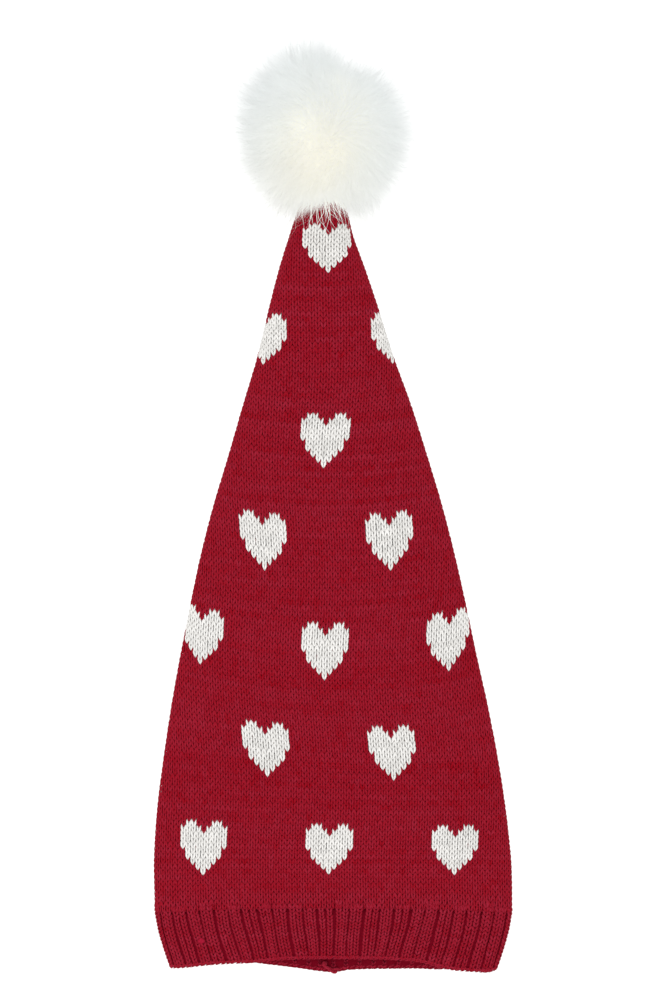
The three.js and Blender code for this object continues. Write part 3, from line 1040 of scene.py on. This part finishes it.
class HAT_OT_crown(bpy.types.Operator):
    """Knits the crown: its cloth, its red stitches on both layers and its white hearts"""

    bl_idname = "hat.crown"
    bl_label = "Crown"

    def execute(self, context):
        sizes = context.scene.hat_sizes
        layers = ready(context.scene)
        random = np.random.default_rng(SEEDS["crown"])
        span = (0.2 * MM, sizes.crown_length - 4 * MM)
        wall = sizes.crown_wall - 0.6 * MM
        tube_shape = {"closed": True, "sunk": CLOTH_SUNK}
        cloth = fabric_tube("crown_cloth", layers, *CROWN_CLOTH, span, CLOTH_SEAT, wall, **tube_shape)
        # The crown's cloth, with painted light that lifts the shade in its openings
        dress(cloth, made["ground"], "red_yarn", "crown")
        hearts, pads = [], []
        for side, name in ((FRONT, "crown_stitches_front"), (BACK, "crown_stitches_back")):
            layer = layers[side]
            template = stitch_template(plain=side == BACK)
            columns, rows, heart = stitch_places(layer)
            tone = stitch_tone(rows, CROWN_STREAKS, random)
            low = (rows < HALF_WAY) | (side == BACK)  # the back's red stitches are one piece
            for part, chosen in (("_low", ~heart & low), ("_high", ~heart & ~low), ("", heart)):
                count = chosen.sum()
                if count == 0:
                    continue
                spot = crown_spot(layer, columns[chosen], rows[chosen])
                tones = np.repeat(tone[chosen], len(template[0]))
                lot = (*knit(layer, template, count, spot, random), tones)
                if part:
                    knitted(lot, name + part, "red", "red_yarn", "crown")
                else:
                    hearts.append(lot)
                    pads.append(knit(layer, pad_template(), count, spot, random))
        knitted(joined(hearts), "crown_hearts", "white", "red_yarn", "crown")
        # Grey pads behind the hearts' openings, as painted shade
        painted_shade_backs = mesh_of_triangles("crown_heart_backs_painted_shade", *joined(pads))
        dress(painted_shade_backs, made["white_ground_shade"], "red_yarn", "crown")
        return {"FINISHED"}


class HAT_OT_cuff(bpy.types.Operator):
    """Knits the ribbed cuff: its cloth, two columns of stitches on each rib, a column in each
    groove's back, and the cast-on edge"""

    bl_idname = "hat.cuff"
    bl_label = "Rib cuff"

    def execute(self, context):
        sizes = context.scene.hat_sizes
        layers = ready(context.scene)
        random = np.random.default_rng(SEEDS["cuff"])
        span = (0.8 * MM - sizes.cuff_length, -0.1 * MM)
        wall = sizes.cuff_wall - 1.0 * MM
        cloth = fabric_tube("cuff_cloth", layers, *CUFF_CLOTH, span, CLOTH_SEAT, wall)
        # The cuff's cloth shows in the grooves with painted shade
        dress(cloth, made["rib_ground_shade"], "rib_yarn", "rib_cuff")
        outside, inside = [], []
        for layer in layers.values():
            outside.append(rib_stitches(layer, RIB_COLUMNS, False, random))
            inside.append(rib_stitches(layer, GROOVE_COLUMNS, True, random))
            outside.append(edge_stitches(layer, random))
        knitted(joined(outside), "cuff_stitches", "rib", "rib_yarn", "rib_cuff")
        # The inside's stitches carry painted shade, darker further in from the edge
        knitted(joined(inside), "cuff_stitches_inside", "inside", "rib_yarn", "rib_cuff")
        bm = bmesh.new()
        bmesh.ops.create_icosphere(bm, subdivisions=3, radius=FLUFF_RADIUS)
        ground, _ = layers[FRONT].look_up(np.array([FLUFF_ACROSS]), np.array([FLUFF_HEIGHT]))
        for vert in bm.verts:
            x, y, z = vert.co
            rough = 1 + 0.22 * math.sin(2600 * x + 1) * math.sin(3100 * y + 2)
            vert.co = Vector(ground[0]) + Vector((x, 0.85 * y, 0.45 * z)) * rough
        fluff = object_of("cuff_fluff", bm)
        mark(fluff.data, "tone", np.zeros(len(fluff.data.vertices)))
        dress(fluff, made["fluff"], "rib_yarn")
        return {"FINISHED"}


def rib_stitches(layer, columns, inward, random):
    """The stitches on a layer's ribs, or inward those at its grooves' backs, and their tones."""
    sizes = layer.sizes
    row_pitch = sizes.cuff_length / CUFF_ROWS
    first = 0 if layer.side == FRONT else RIB_COUNT // 2
    phase = np.add.outer(np.arange(first, first + RIB_COUNT // 2), columns).ravel()
    phase, row = np.meshgrid(phase, np.arange(CUFF_ROWS + 2), indexing="ij")
    phase, row = phase.ravel(), row.ravel()
    low = row * row_pitch - sizes.cuff_length + 0.3 * MM
    # The last stitch of a rib has its foot a little below the rib's top
    last = rib_top(rib_share(layer.side, np.floor(phase) + 0.5)) - 1.5 * MM
    kept = low < (-2 * MM if inward else np.maximum(last, -2 * MM))
    share, row, low = rib_share(layer.side, phase)[kept], row[kept], low[kept]
    seat = INNER_SEAT if inward else YARN_SEAT
    if not inward:
        seat = seat - RIB_RAISED * smoothstep(row, CUFF_ROWS - 2, CUFF_ROWS)[:, None]
    spot = strip_spot(layer, share, low, row_pitch, RIB_COLUMN_WIDTH / (RIB_COUNT / 2))
    template = stitch_template(plain=inward)
    points, triangles = knit(layer, template, len(low), spot, random, seat, inward)
    tone = stitch_tone(row, RIB_STREAKS, random)
    if inward:
        # Painted shade: the inside darkens row by row from the edge
        tone = tone + np.array(INNER_TONES)[np.minimum(row, len(INNER_TONES) - 1)]
    return points, triangles, np.repeat(tone, len(template[0]))


def slanted(shape, length, thick, slant):
    """Short slanted lengths of yarn: how far points lie along them, aside of them and out of them."""
    along = (shape[None, :, 1] - STITCH_MIDDLE) * length
    aside = (shape[None, :, 0] - ARM_MIDDLE) * thick / ARM_MIDDLE + slant * along
    return along, aside, shape[None, :, 2] * thick / ARM_MIDDLE


def edge_stitches(layer, random):
    """The cast-on edge: a twisted cord of slanted lengths of yarn round the mouth, and over it a row
    of small stitches that closes the ribs' lower ends."""
    shape, faces = arm_template(ARM, 4)
    mouth = -layer.sizes.cuff_length
    half = layer.half_at(mouth)
    parts = []
    for count, rise, seat, slant, thick in EDGE_ROWS:
        along, aside, out = slanted(shape, 2 * half / count * 0.95, thick * MM, slant)
        share = (np.arange(count) + 0.5) / count * 2 - 1
        across = share[:, None] * half + along
        height = mouth + rise * MM + aside + random.normal(0, 0.1 * MM, (count, 1))
        points = layer.place(across, height, out - seat * MM + 0 * across)
        parts.append(repeated(points, faces, turned=layer.side == FRONT))
    points, triangles = joined(parts)
    return points, triangles, np.full(len(points), EDGE_TONE)


def seam_stitches(layer, random):
    """The seam up the middle of the back: short slanted stitches that draw two columns together."""
    shape, faces = arm_template(PLAIN_ARM, 3)
    whole = layer.sizes.crown_length + layer.sizes.cuff_length
    count = int((whole - SEAM_START - SEAM_STOP) / SEAM_PITCH)
    number = np.arange(count)[:, None]
    low = number * SEAM_PITCH - layer.sizes.cuff_length + SEAM_START
    slant = np.where(number % 2 == 0, SEAM_SLANT, -SEAM_SLANT) + random.normal(0, 0.06, (count, 1))
    along, aside, out = slanted(shape, SEAM_PITCH * 0.75, SEAM_YARN, slant)
    middle, pitch = columns_at(np.maximum(low, 0) / MM)
    across = middle + 0.5 * pitch + aside
    points = layer.place(across, low + along, out - 0.1 * MM + 0 * across)
    points, triangles = repeated(points, faces, turned=True)
    return points, triangles, np.full(len(points), SEAM_TONE)


def yarn_piece(name, points, radius, closed=False):
    """A length of yarn along points, as a mesh."""
    curve = bpy.data.curves.new(name, "CURVE")
    curve.dimensions = "3D"
    curve.bevel_depth = radius
    curve.bevel_resolution = 3
    curve.use_fill_caps = True
    spline = curve.splines.new("POLY")
    spline.points.add(len(points) - 1)
    spline.use_cyclic_u = closed
    for spot, point in zip(spline.points, points):
        spot.co = (*point, 1)
    shaped = bpy.data.objects.new(name + "_path", curve)
    mesh = bpy.data.meshes.new_from_object(shaped)
    bpy.data.objects.remove(shaped)
    mesh.name = name
    mesh.polygons.foreach_set("use_smooth", np.full(len(mesh.polygons), True))
    mark(mesh, "tone", np.full(len(mesh.vertices), KNOT_TONE))
    return linked(name, mesh)


class HAT_OT_knot(bpy.types.Operator):
    """Sews the seam up the back, and ties the knot that ends it, with its loose strand"""

    bl_idname = "hat.knot"
    bl_label = "Seam knot"

    def execute(self, context):
        layers = ready(context.scene)
        low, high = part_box("seam_knot")
        middle = (low + high) / 2 + Vector((0, KNOT_RISE, 0))
        half = (high - low) / 2 - Vector((1, 1, 1)) * KNOT_YARN
        t = np.linspace(0, math.tau, KNOT_POINTS, endpoint=False)
        x = (np.sin(t) + 2 * np.sin(2 * t)) / 2.76
        y = (np.cos(t) - 2 * np.cos(2 * t)) / 3.0
        z = -np.sin(3 * t)
        points = [middle + Vector((a * half.x, b * half.y, c * half.z)) for a, b, c in zip(x, y, z)]
        knot = yarn_piece("seam_knot_loops", points, KNOT_YARN, closed=True)
        dress(knot, made["rib"], "red_yarn", "seam_knot")
        start = middle + Vector((-0.5 * half.x, 0.4 * half.y, 0))
        route = [start + Vector(step) * MM for step in STRAND_ROUTE]
        strand = yarn_piece("seam_knot_strand", route, STRAND_YARN)
        dress(strand, made["rib"], "red_yarn", "seam_knot")
        random = np.random.default_rng(SEEDS["seam"])
        knitted(seam_stitches(layers[BACK], random), "back_seam", "red", "red_yarn")
        return {"FINISHED"}


class HAT_OT_pompom(bpy.types.Operator):
    """Grows the pompom: its core, and strands of fur that bend, press on the floor and lie over
    the crown's tip"""

    bl_idname = "hat.pompom"
    bl_label = "Pompom"

    def execute(self, context):
        ready(context.scene)
        sizes = context.scene.hat_sizes
        random = np.random.default_rng(SEEDS["fur"])
        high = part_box("pompom")[1]
        middle_y = high.y - sizes.core_radius - sizes.fur_length
        middle = np.array([CROWN["shift"][-1] * sizes.flat_width, middle_y, POMPOM_HEIGHT])
        bm = bmesh.new()
        bmesh.ops.create_icosphere(bm, subdivisions=5, radius=sizes.core_radius - CORE_INSET)
        for vert in bm.verts:
            vert.co = Vector(middle) + vert.co * (1 + 0.02 * math.sin(140 * vert.co.x + 90 * vert.co.z))
        core = object_of("pompom_core", bm)
        dress(core, made["core"], "white_fur", "pompom")

        def grow(name, directions, shares, thick, bends, over_tip=False):
            strands = fur(sizes, middle, directions, shares, thick * MM, bends, random, over_tip)
            points, triangles, cool = strands
            piece = mesh_of_triangles(name, points, triangles, cool=cool)
            dress(piece, made["fur"], "white_fur", "pompom")

        for name, portion, *strand in FUR_LAYERS:
            grow(name, even_directions(int(sizes.fur_strands * portion), random), *strand)
        random = np.random.default_rng(SEEDS["tip"])
        directions = random.normal(*TIP_HAIRS_AIM, (TIP_HAIRS, 3))
        directions /= np.linalg.norm(directions, axis=1, keepdims=True)
        grow("pompom_fur_tip", directions, *TIP_HAIR, over_tip=True)
        return {"FINISHED"}


def even_directions(count, random):
    """Directions spread evenly all round, each moved a little."""
    i = np.arange(count) + 0.5
    up = 1 - 2 * i / count
    turn = math.pi * (3 - math.sqrt(5)) * i
    flat = np.sqrt(1 - up * up)
    directions = np.stack([flat * np.cos(turn), flat * np.sin(turn), up], axis=1)
    directions += random.normal(0, 1.2 / math.sqrt(count), directions.shape)
    return directions / np.linalg.norm(directions, axis=1, keepdims=True)


def fur_reach(directions):
    """How far the fur stands out by direction, as a share: lumps all over, and the bumps."""
    x, y, z = directions.T
    bearing = np.degrees(np.arctan2(x, y))
    level = np.sqrt(np.clip(1 - z * z, 0, 1))
    lumps = 0.02 * np.sin(7 * x + 3 * y) + 0.02 * np.sin(9 * y - 5 * z + 1)
    lumps += 0.015 * np.sin(13 * x * z + 11 * y)
    reach = 1.0 + lumps + 0.03 * (1 - z * z)
    for rise, at, spread in FUR_BUMPS:
        away = (bearing - at + 180) % 360 - 180
        reach += rise * np.exp(-((away / spread) ** 2)) * level
    return reach


def strand_template(bends):
    """One strand: a slim cone of three sides, with a bend half-way if it has one. Gives how far along
    each point is and its turn, and the triangles."""
    bm = bmesh.new()
    bmesh.ops.create_cone(bm, cap_ends=True, cap_tris=False, segments=3, radius1=1, radius2=0, depth=2)
    if bends:
        geometry = bm.verts[:] + bm.edges[:] + bm.faces[:]
        bmesh.ops.bisect_plane(bm, geom=geometry, plane_co=(0, 0, 0), plane_no=(0, 0, 1))
    points, triangles = template_of(bm)
    return np.rint(points[:, 2] + 1).astype(int), np.arctan2(points[:, 1], points[:, 0]), triangles


def clear_the_tip(sizes, middle, ends, reach):
    """Shortens the strands whose ends, as directions, would cover the crown's tip where the photo
    shows its knit in front of the fur."""
    x, y, z = (middle + ends * reach[:, None]).T
    limit = np.interp(x / MM, TIP_SHOWS["x"], TIP_SHOWS["y"]) * MM
    over = (y < limit) & (np.abs(x - middle[0]) < TIP_SIDE) & (z > TIP_LEVEL)
    fitted = (limit - middle[1]) / np.minimum(ends[:, 1], -0.05)
    return np.where(over, np.clip(fitted, 0.85 * sizes.core_radius, reach), reach)


def fur(sizes, middle, directions, shares, thick, bends, random, over_tip=False):
    """Strands of fur as slim needles: points, triangles, and how cool each point's white is."""
    count = len(directions)
    reach = (sizes.core_radius + sizes.fur_length) * fur_reach(directions)
    spread = random.beta(*FUR_LENGTHS, count)
    reach = reach * (shares[0] + (shares[1] - shares[0]) * spread)
    root = sizes.core_radius * random.uniform(*FUR_ROOTS, count)
    side = np.cross(directions, random.normal(0, 1, (count, 3)))
    side /= np.linalg.norm(side, axis=1, keepdims=True)
    x, y, z = directions.T
    comb_x = np.sin(5 * y + 2) + np.sin(6 * z)
    comb_y = np.sin(6 * x + 1) + np.cos(5 * z)
    comb_z = np.cos(6 * x) + np.sin(5 * y + 4)
    comb = np.stack([comb_x, comb_y, comb_z], axis=1)
    comb -= directions * (comb * directions).sum(axis=1, keepdims=True)
    bend = side * random.normal(0, FUR_LEAN, (count, 1)) + comb * FUR_COMB
    ends = directions * reach[:, None] + bend * (reach - root)[:, None]
    ends /= np.linalg.norm(ends, axis=1, keepdims=True)
    if not over_tip:
        reach = clear_the_tip(sizes, middle, ends, reach)
    shares_along = np.array([0.0, 0.5, 1.0])
    spine = []
    for share in shares_along:
        out = root + (reach - root) * share
        place = directions * out[:, None] + bend * ((reach - root) * share * share)[:, None]
        spine.append(place * (out / np.linalg.norm(place, axis=1))[:, None])
    spine = np.stack(spine, axis=1)
    slack = random.uniform(0, FUR_SLACK, (count, 1))
    for axis, limit in ((2, FUR_TOP), (1, FUR_END)):
        room = (limit - slack - middle[axis]) / np.maximum(spine[:, :, axis], 1 * MM)
        spine *= np.minimum(room, 1)[:, :, None]
    spine += middle
    floor = 0.4 * MM + random.uniform(0, 2.5, (count, 1)) * MM
    spine[:, :, 2] = np.maximum(spine[:, :, 2], floor)
    other = np.cross(directions, side)
    half_thick = thick / 2 * random.uniform(0.8, 1.2, (count, 1, 1))
    station, turn, faces = strand_template(bends)
    narrow = np.array(STRAND_TAPER)[station][None, :, None]
    ring = side[:, None] * np.cos(turn)[None, :, None] + other[:, None] * np.sin(turn)[None, :, None]
    points = spine[:, station] + ring * half_thick * narrow
    along = np.tile(shares_along[station], (count, 1))
    warm = np.exp(-sum(((place - at) / size) ** 2 for place, (at, size) in zip((x, y), FUR_WARM)))
    cool = 1 - (0.4 + 0.6 * warm[:, None]) * (1 - 0.5 * along)
    return *repeated(points, faces), cool


class HAT_OT_stage(bpy.types.Operator):
    """Sets up the floor, the soft light and the camera straight above"""

    bl_idname = "hat.stage"
    bl_label = "Stage"

    def execute(self, context):
        scene = context.scene
        bm = bmesh.new()
        bmesh.ops.create_grid(bm, x_segments=1, y_segments=1, size=6.0)
        floor = object_of("floor", bm)
        # White paper lit from all sides: it has no shade of its own and keeps only soft shadows
        material, tree = new_material("white paper floor")
        shader = add(
            tree,
            "ShaderNodeBsdfPrincipled",
            Base_Color=linear("#808080"),
            Roughness=0.95,
            Specular_IOR_Level=0.1,
            Emission_Color=linear("#ffffff"),
            Emission_Strength=1.0,
        )
        add(tree, "ShaderNodeOutputMaterial", Surface=shader.outputs["BSDF"])
        floor.data.materials.append(material)

        world = bpy.data.worlds.new("soft studio")
        world.use_nodes = True
        world.node_tree.nodes["Background"].inputs["Color"].default_value = (1, 1, 1, 1)
        world.node_tree.nodes["Background"].inputs["Strength"].default_value = 0.95
        scene.world = world

        key = bpy.data.lights.new("key softbox", "AREA")
        key.shape = "SQUARE"
        key.size = 1.0
        key.energy = 9.0
        lamp = bpy.data.objects.new("key softbox", key)
        lamp.location = (-0.3, -0.3, 1.6)
        lamp.rotation_euler = (Vector((0, 0, 0)) - lamp.location).to_track_quat("-Z", "Y").to_euler()
        scene.collection.objects.link(lamp)

        view_height = VIEW_PIXELS * MM_PER_PIXEL * MM
        camera = bpy.data.cameras.new("camera above")
        camera.sensor_width = 36.0
        camera.lens = 120.0
        distance = view_height * camera.lens / camera.sensor_width
        camera.clip_end = 30.0
        eye = bpy.data.objects.new("camera above", camera)
        eye.location = (0.0, VIEW_MIDDLE_Y, distance + VIEW_LEVEL)
        scene.collection.objects.link(eye)
        scene.camera = eye
        scene.view_settings.view_transform = "Standard"
        return {"FINISHED"}


class HAT_PT_hat(bpy.types.Panel):
    """Lists the steps that make the hat, and its sizes and colours"""

    bl_idname = "HAT_PT_hat"
    bl_label = "Knitted Santa Hat"
    bl_space_type = "VIEW_3D"
    bl_region_type = "UI"
    bl_category = "Santa Hat"

    def draw(self, context):
        layout = self.layout
        for step in STEPS:
            layout.operator(step.bl_idname)
        for group in (context.scene.hat_sizes, context.scene.hat_colours):
            box = layout.box()
            for name in group.__annotations__:
                box.prop(group, name)


STEPS = (HAT_OT_crown, HAT_OT_cuff, HAT_OT_knot, HAT_OT_pompom, HAT_OT_stage)
CLASSES = (HatSizes, HatColours, *STEPS, HAT_PT_hat)


def register():
    """Makes the sizes, the colours and the steps known."""
    for cls in CLASSES:
        bpy.utils.register_class(cls)
    bpy.types.Scene.hat_sizes = PointerProperty(type=HatSizes)
    bpy.types.Scene.hat_colours = PointerProperty(type=HatColours)


def unregister():
    """Takes them back out, the last first."""
    del bpy.types.Scene.hat_colours
    del bpy.types.Scene.hat_sizes
    for cls in reversed(CLASSES):
        bpy.utils.unregister_class(cls)


def main():
    """Makes the whole hat and its stage."""
    register()
    bpy.ops.hat.crown()
    bpy.ops.hat.cuff()
    bpy.ops.hat.knot()
    bpy.ops.hat.pompom()
    bpy.ops.hat.stage()


if __name__ == "__main__":
    main()
